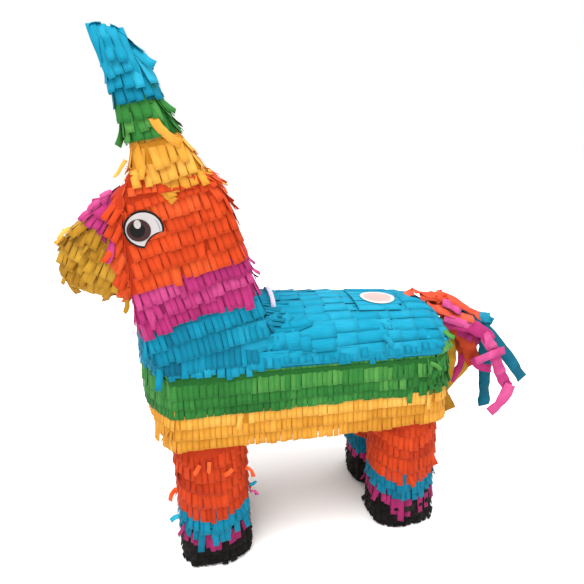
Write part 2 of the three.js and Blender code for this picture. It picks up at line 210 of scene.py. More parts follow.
# ---- paper strips as closed thin meshes ----
def mark_crepe(mesh, marks):
    """Gives each vertex its place in the crepe pattern and, as the third number, its shade."""
    attribute = mesh.attributes.new("crepe", "FLOAT_VECTOR", "POINT")
    attribute.data.foreach_set("vector", np.array(marks, float).ravel())


def face_outwards(mesh):
    fix = bmesh.new()
    fix.from_mesh(mesh)
    bmesh.ops.recalc_face_normals(fix, faces=fix.faces)
    fix.to_mesh(mesh)
    fix.free()


class Paper:
    """Collects thin closed strips of paper and makes one piece of them."""

    def __init__(self, name, colour):
        self.name, self.colour = name, colour
        self.points, self.faces, self.marks = [], [], []
        self.count = 0

    def strip(self, centres, across, normals, halves, cup, shade, origin, thick=PAPER):
        """A strip along centres; cup raises its middle, origin places it in the crepe pattern."""
        n = len(centres)
        halves = (np.asarray(halves, float) * np.ones(n))[:, None]
        cup = np.asarray(cup, float).reshape(-1, 1) * np.ones((n, 1))
        left, right = centres - across * halves, centres + across * halves
        middle = centres + normals * cup
        down = normals * thick
        rings = np.stack([left, middle, right, right - down, middle - down, left - down], axis=1)
        steps = np.linalg.norm(np.diff(centres, axis=0), axis=1)
        run = np.concatenate([[0.0], np.cumsum(steps)]) + origin[1]
        mark = np.zeros((n, 6, 3))
        mark[:, :, 0] = origin[0] + np.array([-1, 0, 1, 1, 0, -1]) * halves
        mark[:, :, 1] = run[:, None]
        mark[:, :, 2] = (np.asarray(shade, float) * np.ones(n))[:, None]
        base = self.count + 6 * np.arange(n - 1)[:, None]
        for i in range(6):
            j = (i + 1) % 6
            self.faces.append(np.concatenate([base + i, base + 6 + i, base + 6 + j, base + j], axis=1))
        for start, flip in ((self.count, False), (self.count + 6 * (n - 1), True)):
            cap = np.array([[0, 1, 4, 5], [1, 2, 3, 4]]) + start
            self.faces.append(cap[:, ::-1] if flip else cap)
        self.points.append(rings.reshape(-1, 3))
        self.marks.append(mark.reshape(-1, 3))
        self.count += 6 * n

    def piece(self, body="root", replaces=()):
        mesh = bpy.data.meshes.new(self.name)
        points = np.concatenate(self.points) * MM
        faces = np.concatenate(self.faces)
        mesh.vertices.add(len(points))
        mesh.vertices.foreach_set("co", points.ravel())
        mesh.loops.add(faces.size)
        mesh.loops.foreach_set("vertex_index", faces.ravel())
        mesh.polygons.add(len(faces))
        mesh.polygons.foreach_set("loop_start", np.arange(0, faces.size, 4))
        mesh.update(calc_edges=True)
        mark_crepe(mesh, np.concatenate(self.marks))
        mesh.validate()
        return show(mesh, CREPE[self.colour], body, replaces)


def show(mesh, material, body="root", replaces=()):
    """An object of the mesh, with its material, on its body."""
    piece = bpy.data.objects.new(mesh.name, mesh)
    bpy.context.scene.collection.objects.link(piece)
    mesh.materials.append(material)
    if replaces:
        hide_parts(*replaces)
    if body:
        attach(piece, body)
    return piece


# ---- surfaces and rows of tabs ----
def surface(*nodes):
    """CAD nodes as one thing that rays can hit, in millimetres."""
    points, triangles = [], []
    for node in nodes:
        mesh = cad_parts[node].data
        mesh.calc_loop_triangles()
        base = len(points)
        points += [v.co / MM for v in mesh.vertices]
        triangles += [[base + i for i in t.vertices] for t in mesh.loop_triangles]
    return BVHTree.FromPolygons(points, triangles)


def outline(tree, centre, normal, keep, count=720):
    """Runs of (point, normal) where the plane through centre cuts the outside of a surface."""
    normal = normal.normalized()
    first = (Vector((0, 0, 1)) if abs(normal.x) > 0.9 else Vector((1, 0, 0)))
    first = (first - normal * first.dot(normal)).normalized()
    second = normal.cross(first)
    hits = []
    for i in range(count):
        angle = 2 * math.pi * i / count
        out = first * math.cos(angle) + second * math.sin(angle)
        best = None
        for shift in (-0.9, 0.0, 0.9):
            spot, face, _, _ = tree.ray_cast(centre + normal * shift + out * REACH, -out)
            if spot is None:
                continue
            spot = spot - normal * shift
            if (spot - centre).dot(out) < 0:
                continue
            if best is None or (spot - centre).dot(out) > (best[0] - centre).dot(out):
                best = (spot, face)
        hits.append(best if best and keep(best[0]) else None)
    runs, run = [], []
    for hit in hits:
        if hit and (not run or (hit[0] - run[-1][0]).length < 14):
            run.append(hit)
        else:
            if len(run) > 3:
                runs.append(run)
            run = [hit] if hit else []
    if len(run) > 3:
        runs.append(run)
    closed = len(runs) == 1 and len(runs[0]) == count
    if not closed and len(runs) > 1 and hits[0] and hits[-1]:
        if (runs[0][0][0] - runs[-1][-1][0]).length < 14:
            runs[0] = runs.pop() + runs[0]
    return [smooth_run(run, closed) for run in runs]


def smooth_run(run, closed):
    points = np.array([p for p, _ in run])
    normals = np.array([n for _, n in run])

    def soften(values, width):
        pad = ((width, width), (0, 0))
        wide = np.pad(values, pad, mode="wrap" if closed else "edge")
        kernel = np.ones(2 * width + 1) / (2 * width + 1)
        return np.stack([np.convolve(wide[:, k], kernel, mode="valid") for k in range(3)], axis=1)

    points = soften(points, 2)
    normals = soften(normals, 5)
    normals /= np.linalg.norm(normals, axis=1)[:, None] + 1e-9
    return points, normals, closed


def spread(points, normals, closed, pitch, rng):
    """Places along a run, one for each tab, with the tab's own width."""
    if closed:
        points = np.concatenate([points, points[:1]])
        normals = np.concatenate([normals, normals[:1]])
    steps = np.linalg.norm(np.diff(points, axis=0), axis=1)
    run = np.concatenate([[0.0], np.cumsum(steps)])
    count = max(1, int(run[-1] / pitch))
    edges = np.linspace(0, run[-1], count + 1)
    edges[1:-1] += rng.uniform(-0.13, 0.13, count - 1) * pitch
    middles = (edges[1:] + edges[:-1]) / 2
    spots = np.stack([np.interp(middles, run, points[:, k]) for k in range(3)], axis=1)
    outs = np.stack([np.interp(middles, run, normals[:, k]) for k in range(3)], axis=1)
    outs /= np.linalg.norm(outs, axis=1)[:, None] + 1e-9
    return spots, outs, np.diff(edges), middles


def turned(vector, axis, angle):
    """vector turned about a unit axis."""
    return (vector * math.cos(angle) + np.cross(axis, vector) * math.sin(angle)
            + axis * np.dot(axis, vector) * (1 - math.cos(angle)))


def march(tree, start, out, heading, offsets, step, cling, stop=None):
    """A path from start along heading that keeps offsets off the surface, while there is one."""
    spot, out, heading = start.copy(), out.copy(), heading.copy()
    heading -= out * heading.dot(out)
    heading /= np.linalg.norm(heading) + 1e-9
    spots, outs = [spot + out * offsets[0]], [out]
    free = False
    for k in range(1, len(offsets)):
        spot = spot + heading * step
        near, face, _, _ = tree.ray_cast(Vector(spot + out * 18), Vector(-out), 18 + cling)
        if near is not None and not free:
            face = np.array(face)
            spot = np.array(near)
            if face.dot(out) > 0.2:
                out = out * 0.45 + face * 0.55
                out /= np.linalg.norm(out)
        else:
            free = True
            heading = heading * 0.8 + np.array([0, 0, -0.2])
        heading = heading - out * heading.dot(out) * (0.25 if free else 1.0)
        heading /= np.linalg.norm(heading) + 1e-9
        if stop and stop(spot):
            shares = (f for f in (0.8, 0.6, 0.4, 0.2) if not stop(spot - heading * step * (1 - f)))
            part = next(shares, None)
            if part:
                spots.append(spot - heading * step * (1 - part) + out * offsets[k])
                outs.append(out)
            break
        spots.append(spot + out * offsets[k])
        outs.append(out)
    return np.array(spots), np.array(outs)


class Look:
    """How the tabs of a row lie: their width, length, lift and disorder."""

    def __init__(self, length=31, pitch=PITCH, tip=0.2, curl=0.5, skew=1.0, ragged=0.03, loose=0.02,
                 gap=0.2, cup=0.15, cling=6.0, root=ROOT, untidy=None, extra=None, tone=0.09):
        self.length, self.pitch, self.tip, self.curl, self.skew = length, pitch, tip, curl, skew
        self.ragged, self.loose, self.gap, self.cup = ragged, loose, gap, cup
        self.cling, self.root, self.untidy, self.extra = cling, root, untidy, extra
        self.tone = tone


def pressed(spot):
    """True under an eye sticker, which holds the tabs down."""
    dx = (spot[0] - ZERO_X - EYE_X) / (EYE_R[0] + 2)
    dz = (spot[2] - EYE_Z) / (EYE_R[1] + 2)
    return abs(spot[1]) > SIDE_Y - 8 and dx * dx + dz * dz < 1


def add_row(paper, tree, runs, direction, look, shade=0.5, skip=None, stop=None, steps=6):
    """Hangs a row of tabs from the runs, along direction as far as the surface lets them."""
    rng = np.random.default_rng(zlib.crc32(paper.name.encode()))
    direction = np.array(direction, float)
    for points, normals, closed in runs:
        spots, outs, widths, middles = spread(points, normals, closed, look.pitch, rng)
        group_end, tone, lift, cut = -1, 0.0, 0.0, 0.0
        for i, (spot, out, width) in enumerate(zip(spots, outs, widths)):
            if i > group_end:
                group_end = i + rng.integers(2, GROUP_MOST)
                tone, lift, cut = rng.normal(0, look.tone), rng.normal(0, 0.3), rng.normal(0, look.ragged)
            draws = rng.normal(0, 1, 8)
            chance = rng.random(3)
            if skip and skip(spot):
                continue
            mess = look.untidy(spot) if look.untidy else 0.0
            loose = chance[0] < look.loose + 0.5 * mess
            length = look.length * (1 + cut + look.ragged * 0.6 * draws[0])
            length += look.extra(spot) if look.extra else 0.0
            angle = math.radians(look.skew * draws[1] + mess * 26 * draws[2])
            curl = look.curl * (0.4 + abs(draws[3])) + mess * 2.5 * abs(draws[4])
            twist = 0.05 * draws[5] + mess * 0.9 * draws[6]
            if loose:
                length *= 1 + 0.25 * chance[1]
                angle += math.radians(14 * draws[2])
                curl += 2.0 + 4.0 * chance[2]
                twist += 0.5 * draws[6]
            t = np.linspace(0, 1, steps + 1)
            tip = look.tip + 0.5 * lift
            offsets = look.root + (tip - look.root) * t ** 1.3 + curl * t ** 4
            if pressed(spot + direction * length * 0.6) or pressed(spot + direction * length):
                offsets = np.minimum(offsets, look.root + 2.4)
            heading = turned(direction - out * direction.dot(out), out, angle)
            path, faces = march(tree, spot, out, heading, offsets, length / steps, look.cling, stop)
            if len(path) < 3:
                continue
            t = t[:len(path)]
            along = np.gradient(path, axis=0)
            along /= np.linalg.norm(along, axis=1)[:, None] + 1e-9
            across = np.cross(faces, along)
            across /= np.linalg.norm(across, axis=1)[:, None] + 1e-9
            faces = np.cross(along, across)
            spin = (twist * t ** 1.5)[:, None]
            turned_across = across * np.cos(spin) + faces * np.sin(spin)
            turned_faces = faces * np.cos(spin) - across * np.sin(spin)
            half = width / 2 - look.gap / 2 * np.minimum(1, t * 2.5) * (0.6 + 0.8 * chance[1])
            cup = look.cup * draws[7] * t
            tone_here = shade + tone + 0.5 * look.tone * draws[3]
            paper.strip(path, turned_across, turned_faces, half, cup, tone_here,
                        (middles[i] + 500 * (zlib.crc32(paper.name.encode()) % 97), 7.0 * draws[0]))


def hang(name, colour, tree, runs, heading, look, shade, body, replaces, **more):
    """One row of tabs as one piece, if it has any."""
    paper = Paper(name, colour)
    add_row(paper, tree, runs, heading, look, shade, **more)
    if paper.count:
        paper.piece(body, replaces)


def rows(name, colour, lines, look, centre, keep=None, shades=(0.5,), replaces=(), stop=None, trace=None,
         cling=None):
    """Rows of tabs whose tips follow lines of the side view: each is (height at x = 0, slope)."""
    for i, (height, slope) in enumerate(lines):
        up = Vector((-slope, 0, 1)).normalized()
        tip = at(centre[0], centre[1], height + slope * centre[0])
        runs = outline(trace, tip + up * look.length, up, keep or (lambda p: True))
        hang(f"{name}_row_{i + 1}", colour, cling or trace, runs, -up, look, shades[i % len(shades)],
             "root", replaces if i == 0 else (), stop=stop)


def cross_rows(name, colour, places, look, keep, shades=(0.5,), replaces=(), skip=None, stop=None,
               body="root", heading=(1, 0, -0.02), centre_z=205, trace=None):
    """Rows of tabs that run from side to side, at places along x, with tabs pointing along heading."""
    for i, x in enumerate(places):
        runs = outline(trace, at(x, 0, centre_z), Vector((1, 0, 0)), keep)
        hang(f"{name}_row_{i + 1}", colour, trace, runs, heading, look, shades[i % len(shades)], body,
             replaces if i == 0 else (), skip=skip, stop=stop, steps=7)


HEAD = surface("neck_fringe_pink", "head_fringe_orange")
NECK = surface("neck_fringe_pink", "head_fringe_orange", "body_fringe_blue")
BODY = surface("body_fringe_yellow", "body_fringe_green", "body_fringe_blue", "neck_fringe_pink",
               "head_fringe_orange", "flap_tissue")


def out_x(p):
    """x from the front edge of the side panels."""
    return p[0] - ZERO_X


def rump_mess(spot):
    """How crumpled the crepe is, near the rump."""
    return max(0.0, min(1.0, (out_x(spot) - 235) / 80)) * 0.45


# ---- the layer of glued paper under the tabs ----
UNDER = 1.9                   # how far its outside lies below the surface of the CAD crepe
# painted shadow: the layer under the tabs is drawn at this dark shade, so the gaps between tabs look shaded
UNDER_PAINTED_SHADE = 0.12


def underlay(node, colour, body="root"):
    """The glued heads of the strips, as one layer that shows where two tabs part, drawn dark as painted
    shadow.
    """
    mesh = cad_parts[node].data.copy()
    mesh.name = f"underlay_{node}"
    mesh.materials.clear()
    skin = bmesh.new()
    skin.from_mesh(mesh)
    bmesh.ops.remove_doubles(skin, verts=skin.verts, dist=0.02 * MM)
    skin.normal_update()
    for v, inner in [(v, v.co - v.normal * UNDER * MM) for v in skin.verts]:
        v.co = inner
    skin.to_mesh(mesh)
    skin.free()
    # painted shadow: every vertex of the layer gets the dark shade
    mark_crepe(mesh, [(v.co.x / MM + v.co.y / MM, v.co.z / MM, UNDER_PAINTED_SHADE) for v in mesh.vertices])
    show(mesh, CREPE[colour], body, [node])


def underlays():
    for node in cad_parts:
        colour = next((c for c in CREPE if node.split("fringe_")[-1].startswith(c)), None)
        if "fringe" in node:
            underlay(node, colour or "black")
    underlay("flap_tissue", "blue", "flap")


# ---- body ----
def body_rows():
    hem = Look(length=27, tip=0.3, curl=0.3, ragged=0.03, cling=1.5, skew=0.7, gap=0.1)
    rows("body_yellow", "yellow", [(157, BAND_SLOPE)], hem, (150, 0), shades=[0.40],
         replaces=["body_fringe_yellow"], trace=BODY)
    neat = Look(length=28, tip=0.0, curl=0.25, ragged=0.015, skew=0.6, loose=0.01, gap=0.12)
    rows("body_yellow_upper", "yellow", [(171, BAND_SLOPE), (184, BAND_SLOPE)], neat, (150, 0),
         shades=[0.46, 0.58], trace=BODY)
    green = Look(length=32, tip=0.1, curl=0.3, ragged=0.02, skew=0.7, untidy=rump_mess, gap=0.15)
    rows("body_green", "green", [(196, BAND_SLOPE), (207, BAND_SLOPE), (218, BAND_SLOPE)], green, (150, 0),
         shades=[0.42, 0.46, 0.54], replaces=["body_fringe_green"], trace=BODY)
    edge = Look(length=30, pitch=7.0, tip=0.6, curl=0.6, skew=2.4, ragged=0.14, loose=0.08, gap=0.25)
    rows("body_blue_edge", "blue", [(242, BAND_SLOPE)], edge, (150, 0), shades=[0.45],
         replaces=["body_fringe_blue"], trace=BODY)


def rump_rows():
    """Short rows on the rear end, above the green."""
    behind = lambda p: out_x(p) > 296
    look = Look(length=20, pitch=7, tip=0.4, curl=1.6, skew=7, ragged=0.14, loose=0.15)
    rows("rump_green", "green", [(247, BAND_SLOPE), (256, BAND_SLOPE)], look, (250, 0), keep=behind,
         shades=[0.68, 0.74], trace=BODY)


# ---- back and flap ----
def back_rows():
    """The back is covered by rows that run over it from side to side, tabs pointing rearwards."""
    low, high = FLAP_LOW, FLAP_HIGH
    look = Look(length=46, pitch=15, tip=-0.5, curl=0.35, skew=0.5, ragged=0.07, loose=0.01, gap=0.06,
                cup=0.1, root=-1.6, cling=8, tone=0.035)

    def on_back(p):
        return p[2] > 244 + BAND_SLOPE * out_x(p)

    def on_flap(p):
        return low.x - 0.9 < p[0] < high.x + 0.6 and low.y - 4.6 < p[1] < high.y + 4.6

    def ends(p):
        return on_flap(p) or out_x(p) > 319

    cross_rows("back_tissue", "blue", [74, 90], look, lambda p: on_back(p) and p[2] < 296, [0.5],
               skip=on_flap, stop=ends, trace=BODY)
    cross_rows("back_tissue_rear", "blue", range(106, 304, 24), look, on_back, [0.52, 0.57, 0.54],
               skip=on_flap, stop=ends, trace=BODY)
    behind = lambda p: low.y - 1 < p[1] < high.y + 1 and p[2] > 250
    cross_rows("back_tissue_behind_flap", "blue", [high.x + 1.2 - ZERO_X], look, behind, [0.55], stop=ends,
               trace=BODY)
    patch = Look(length=32, pitch=9.5, tip=0.8, curl=0.1, skew=0.2, ragged=0.01, loose=0, gap=0.05,
                 root=0.6, cup=0.0, tone=0.03)
    on_top = lambda p: low.y - 5 < p[1] < high.y - 0.3 and p[2] > 250
    cross_rows("flap_cover", "blue", [low.x - 2.5 - ZERO_X, low.x + 25 - ZERO_X], patch, on_top, [0.56],
               replaces=["flap_tissue"], body="flap", heading=(1, 0, -0.09), trace=BODY,
               stop=lambda p: p[0] > high.x + 3)


def bending_strip(name, colour, centres, normals, margin, place, thick):
    """A strip across the hinge of the flap, within reach of the hinge."""
    across = np.array([FLAP_ALONG] * len(centres))
    paper = Paper(name, colour)
    half = (FLAP_HIGH.x - FLAP_LOW.x) / 2 + margin
    paper.strip(np.array(centres), across, np.array(normals), half, 0.0, 0.5, place, thick)
    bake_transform(paper.piece(None))


def hinge_tissue():
    """The tissue that runs on from the back over the flap's uncut edge."""
    middle = (FLAP_LOW.x + FLAP_HIGH.x) / 2
    centres, normals = [], []
    for y in np.linspace(FLAP_HIGH.y + 8, FLAP_HIGH.y - 8, 17):
        # a little off the middle, so that no ray runs along an edge of the mesh
        spot, face, _, _ = BODY.ray_cast(Vector((middle + 1.3, y + 0.17, 400)), Vector((0, 0, -1)))
        if spot is not None:
            centres.append(spot + face * 1.2)
            normals.append(face)
    bending_strip("flap_hinge_tissue", "blue", centres, normals, 1, (40.0, 0.0), 0.35)


def hinge_board():
    """The facing paper of the board, left uncut along the hinge."""
    middle = (FLAP_LOW.x + FLAP_HIGH.x) / 2
    centres = [(middle, FLAP_HIGH.y + d, HINGE_Z - 0.4) for d in np.linspace(3.6, -3.6, 19)]
    bending_strip("flap_hinge_board", "board", centres, [FLAP_UP] * len(centres), -0.5,
                  (0.0, 0.0), 1.4)


# ---- neck and head ----
def neck_rows():
    ahead = lambda p: out_x(p) < 112 and not (out_x(p) > 92 and p[2] < 288)
    blue = Look(length=30, tip=0.2, curl=0.4, ragged=0.03, skew=1.0)
    # painted shade: the neck's blue rows get low shades, drawn darker for the shade on the side of the neck
    rows("neck_blue", "blue", [(246, 0.02), (259, 0.16), (274, 0.24)], blue, (40, 0), keep=ahead,
         shades=[0.28, 0.34, 0.40], trace=NECK)
    pink = Look(length=30, tip=0.3, curl=0.6, ragged=0.06, loose=0.05, skew=1.6)
    rows("neck_pink", "pink", [(293.5 + 14 * i, NECK_SLOPE) for i in range(3)], pink, (40, 0),
         keep=lambda p: out_x(p) < 112, shades=[0.42, 0.46, 0.56], trace=NECK,
         replaces=["neck_fringe_pink"])
    head = Look(length=30, tip=0.2, curl=0.4, ragged=0.03, loose=0.025, skew=1.2, pitch=6.4)
    rows("head_orange", "orange", [(335.5 + 15.5 * i, NECK_SLOPE) for i in range(5)], head, (30, 0),
         shades=[0.56, 0.48, 0.52, 0.5], trace=HEAD, replaces=["head_fringe_orange"])
    short = Look(length=15, tip=0.2, curl=0.4, ragged=0.04, skew=1.2, pitch=6.4)
    rows("brow_orange", "orange", [(411, 0.25), (423, 0.10), (431, 0.0)], short, (20, 0), shades=[0.52],
         trace=HEAD)
    top = Look(length=34, pitch=7, tip=0.8, curl=1.2, skew=3, cling=3, root=-2.6)
    on_crown = lambda p: p[2] > 436 and abs(p[1]) < 36
    cross_rows("crown_orange", "orange", [46, 28, 10], top, on_crown, [0.55], heading=(-1, 0, 0),
               centre_z=400, trace=HEAD)
    cross_rows("nape_orange", "orange", [34], top, lambda p: p[2] > 436, [0.52], heading=(1, 0, 0),
               centre_z=400, trace=HEAD)
    brow = Look(length=14, pitch=7, tip=0.2, curl=0.0, cling=8, root=-1.5, loose=0.0)
    cross_rows("brow_cover", "orange", [-12], brow, lambda p: p[2] > 436 and abs(p[1]) < 24, [0.5],
               heading=(-1, 0, 0), centre_z=400, trace=HEAD)


# ---- ears ----
EAR_TIPS = {"yellow": (420, 434, 448), "green": (470, 479, 488), "blue": (498, 509, 520, 531)}


def ear_rows():
    for side, sign in (("left", -1), ("right", 1)):
        nodes = [f"ear_fringe_{colour}_{side}" for colour in EAR_TIPS]
        ear = surface(*nodes)
        both = surface(*nodes, "head_fringe_orange")
        inside_head = lambda p: p[2] < 440 and abs(p[1]) < 60 and out_x(p) < 48
        for node, (colour, tips) in zip(nodes, EAR_TIPS.items()):
            for i, tip in enumerate(tips):
                middle = 18 - (tip - 438) * 0.32
                look = Look(length=min(25, 556.5 - tip), pitch=7.6, tip=0.6, skew=2.0, ragged=0.07,
                            curl=0.6, loose=0.04, gap=0.4, cling=7)
                if (colour, i) == ("yellow", 0):
                    look.ragged, look.extra = 0.10, lambda p: 10 * max(0.0, 1 - abs(out_x(p) + 5) / 16)
                rows(f"ear_{colour}_{side}_{i + 1}", colour, [(tip - EAR_SLOPE * middle, EAR_SLOPE)], look,
                     (middle, sign * 54), shades=[(0.46, 0.54, 0.5)[i % 3]], trace=ear, cling=both,
                     stop=inside_head, replaces=[node] if i == 0 else ())
        cap = Paper(f"ear_cap_{side}", "blue")
        for k, x in enumerate((-31, -24, -17, -11)):
            top = 560.2 - 0.5 * k ** 1.6
            over = [(-67.8, 519 + 6 * (k % 3)), (-66.8, 531), (-65, 543), (-63, 552), (-60, top - 0.6),
                    (-56, top), (-52, top - 0.6), (-49.5, 552), (-48, 543), (-46.5, 534)]
            route = [(x + 0.3 * (556 - z), sign * -y, z) for y, z in over]
            add_ribbon(cap, route, 8.6, (1, 0, 0.1), 0.54 + 0.04 * (k % 3), thick=PAPER, curl=0.5)
        front = [(-24, 560.4), (-31, 560.2), (-33.5, 557), (-32, 549), (-29, 541), (-25.5, 532)]
        back = [(-17, 559), (-10, 557.5), (-6, 552), (-3, 544), (0, 536), (3, 528)]
        for edge in (front, back):
            add_ribbon(cap, [(x, sign * 56, z) for x, z in edge], 12.0, (0, 1, 0), 0.6, thick=PAPER, curl=0.4)
        cap.piece("root")


# ---- muzzle ----
MUZZLE_NODES = {"orange": "muzzle_fringe_orange", "pink": "muzzle_fringe_pink",
                "mustard": "muzzle_fringe_mustard"}


def muzzle_colour(p):
    """Which band of the muzzle a point is in."""
    x, z = out_x(p), p[2]
    if x > -36 - (432 - z) * 0.07:
        return "orange"
    above = z > 396 - (x + 66) * 22 / 26
    return "pink" if x > -68 and above else "mustard"


def muzzle_rows():
    muzzle = surface(*MUZZLE_NODES.values())
    way = Vector((-0.5, 0, -0.87)).normalized()
    look = Look(length=26, pitch=7.6, tip=0.7, curl=0.9, skew=3, ragged=0.08, loose=0.07, gap=0.35, cling=8)
    for colour, node in MUZZLE_NODES.items():
        first = True
        for i, step in enumerate(range(-84, 46, 13)):
            paper = Paper(f"muzzle_{colour}_row_{i + 1}", colour)

            def other(spot):
                return muzzle_colour(Vector(spot) + way * look.length * 0.75) != colour
            runs = outline(muzzle, at(-55, 0, 370) + way * step, way, lambda p: True)
            add_row(paper, muzzle, runs, way, look, 0.5 + 0.05 * (i % 2), other)
            if paper.count:
                paper.piece("root", [node] if first else ())
                first = False


# ---- legs ----
LEG_ROWS = [("black", "hoof_fringe", (1.5, 9, 17, 25)), ("pink", None, (38,)),
            ("blue", "leg_fringe_blue", (49, 61)), ("orange", "leg_fringe_orange", (75, 92, 109, 125, 141))]


def longer_outside(centre):
    """The coloured rows hang lower in the middle of a leg's outer face."""
    def extra(p):
        across = (out_x(p) - centre[0]) / 34
        outside = (abs(p[1]) - abs(centre[1])) > 20
        return 13 * max(0.0, 1 - across * across) if outside else 0.0
    return extra


def leg_rows():
    for end in ("front", "rear"):
        for side in ("left", "right"):
            name = f"{end}_{side}"
            nodes = [f"{band}_{name}" for _, band, _ in LEG_ROWS if band]
            leg = surface(*nodes)
            low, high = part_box(f"leg_tube_{name}")
            centre = ((low.x + high.x) / 2 / MM - ZERO_X, (low.y + high.y) / 2 / MM)
            roof = 160 + BAND_SLOPE * centre[0]
            for colour, band, tips in LEG_ROWS:
                for i, tip in enumerate(tips):
                    length = min(25, roof - tip)
                    if length < 6:
                        continue
                    look = Look(length=length, pitch=6.6, tip=0.0, curl=0.4, skew=1.2, ragged=0.06,
                                loose=0.02, gap=0.15, cling=5, root=-2.6, extra=longer_outside(centre))
                    if colour == "black":
                        look.curl, look.skew, look.ragged, look.pitch = 1.0, 7, 0.16, 7.0
                        look.length, look.extra = 16, None
                    if colour in ("pink", "blue"):
                        look.curl, look.skew, look.ragged, look.loose = 0.8, 4, 0.14, 0.05
                    # painted shade: every band of a leg is drawn with low shades, darker than the same crepe
                    # on the body, for the shade under the belly
                    rows(f"leg_{name}_{colour}_{i + 1}", colour, [(tip, 0)], look, centre,
                         shades=[(0.22, 0.29)[i % 2]], trace=leg, stop=lambda p: p[2] < 1.6,
                         replaces=[f"{band}_{name}"] if band and i == 0 else ())


# ---- eyes ----
def print_ink(name, colour, deep, roughness=0.5):
    """Glossy printed paper with a faint mottle."""
    n = Nodes(name)
    place = n.add("ShaderNodeTexCoord")
    mottle = n.noise(place.outputs["Object"], 900.0, Detail=3.0)
    both = n.mix(mottle, 0.6, n.noise(place.outputs["Object"], 70.0), 0.4)
    n.link(n.ramp(both, [(0.25, linear(deep)), (0.7, linear(colour))]), "Base Color")
    n.bump(0.12, 0.0002, mottle)
    n.set(Roughness=roughness, Specular_IOR_Level=0.15, Coat_Weight=0.03, Coat_Roughness=0.3)
    return n.material


def plate(name, outline_points, y_inner, y_outer, material, replaces=()):
    """A thin closed plate whose outline is drawn in the side view (x, z)."""
    n = len(outline_points)
    points = [at(x, y, z) * MM for y in (y_inner, y_outer) for x, z in outline_points]
    faces = [list(range(n)), list(range(2 * n - 1, n - 1, -1))]
    faces += [[i, i + n, (i + 1) % n + n, (i + 1) % n] for i in range(n)]
    mesh = bpy.data.meshes.new(name)
    mesh.from_pydata(points, [], faces)
    face_outwards(mesh)
    return show(mesh, material, replaces=replaces)


def ellipse(cx, cz, rx, rz, start=0.0, end=360.0, count=72):
    angles = [math.radians(start + (end - start) * i / count) for i in range(count)]
    return [(cx + rx * math.cos(a), cz + rz * math.sin(a)) for a in angles]


def eye_shape(inset):
    """A round eye with a shallow bite out of its lower rear edge."""
    rx, rz = EYE_R[0] - inset, EYE_R[1] - inset
    rim = ellipse(EYE_X, EYE_Z, rx, rz, -9, 270, 80)
    (x0, z0), (x1, z1) = rim[-1], rim[0]
    length = math.hypot(x1 - x0, z1 - z0)
    inward = (-(z1 - z0) / length, (x1 - x0) / length)
    bite = []
    for i in range(1, 12):
        t = i / 12
        sag = 3.0 * 4 * t * (1 - t)
        bite.append((x0 + (x1 - x0) * t + inward[0] * sag, z0 + (z1 - z0) * t + inward[1] * sag))
    return rim + bite


def crescent(cx, cz, radius, width, start, end):
    outer = ellipse(cx, cz, radius, radius, start, end, 24)
    inner = []
    for i, (x, z) in enumerate(outer):
        w = width * math.sin(math.pi * (i + 0.5) / len(outer))
        r = (radius - w) / radius
        inner.append((cx + (x - cx) * r, cz + (z - cz) * r))
    return outer + inner[::-1]


def eyes():
    ink = print_ink("eye_ink", "0e0a09", "060404")
    white = print_ink("eye_white", "bab4b3", "aea8a8")
    brown = print_ink("eye_brown", "3e2624", "2e1a1a")
    grey = print_ink("eye_grey", "84969a", "74868c")
    glint = print_ink("eye_glint", "b4aeac", "a49e9c")
    layers = [("rim", eye_shape(0), ink), ("white", eye_shape(1.9), white),
              ("shade", crescent(EYE_X + 1.5, EYE_Z - 0.5, 12.6, 1.0, -20, 55), grey),
              ("iris", ellipse(EYE_X - 4.4, EYE_Z - 0.6, 10.4, 10.0), brown),
              ("pupil", ellipse(EYE_X - 5.6, EYE_Z - 0.2, 6.6, 6.8), ink),
              ("glint", ellipse(EYE_X - 5.0, EYE_Z + 5.0, 3.0, 3.9), glint)]
    for side, sign in (("left", -1), ("right", 1)):
        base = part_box(f"eye_{side}")[0 if sign > 0 else 1].y / MM
        for i, (part, shape, material) in enumerate(layers):
            start = base + sign * (0.0 if i == 0 else 0.55 + 0.16 * (i - 1))
            end = base + sign * (0.6 + 0.16 * i)
            plate(f"eye_{part}_{side}", shape, start, end, material,
                  replaces=[f"eye_{side}"] if i == 0 else ())


def nostril():
    """A short ink line on each side of the nose."""
    ink = print_ink("nostril_ink", "1a1310", "0e0a08", 0.6)
    for side, sign in (("left", -1), ("right", 1)):
        shape = [(-79, 382.2), (-72, 386.6), (-71.6, 385.4), (-78.6, 380.8)]
        plate(f"nostril_{side}", shape, sign * 38.5, sign * 41.5, ink)


# ---- label, strap, cardboard ----
def draped_disc(name, tree, centre, radii, lift, thick, material, body, replaces=()):
    """A thin oval sticker that follows the surface under it."""
    rings, spokes = 10, 64
    top = []
    for i in range(rings + 1):
        for k in range(spokes if i else 1):
            angle = 2 * math.pi * k / spokes
            x = centre[0] + radii[0] * i / rings * math.cos(angle)
            y = centre[1] + radii[1] * i / rings * math.sin(angle)
            spot, face, _, _ = tree.ray_cast(at(x, y, 400), Vector((0, 0, -1)))
            top.append(spot + Vector((0, 0, 1)) * lift)
    count = len(top)
    points = [p * MM for p in top] + [(p - Vector((0, 0, thick))) * MM for p in top]
    faces = []

    def spot_at(ring, k):
        return 0 if ring == 0 else 1 + (ring - 1) * spokes + k % spokes
    for i in range(rings):
        for k in range(spokes):
            quad = [spot_at(i, k), spot_at(i + 1, k), spot_at(i + 1, k + 1), spot_at(i, k + 1)]
            quad = quad[:3] if i == 0 else quad
            faces += [quad, [v + count for v in reversed(quad)]]
    for k in range(spokes):
        a, b = spot_at(rings, k), spot_at(rings, k + 1)
        faces.append([b, a, a + count, b + count])
    mesh = bpy.data.meshes.new(name)
    mesh.from_pydata(points, [], faces)
    mesh.validate()
    return show(mesh, material, body, replaces)


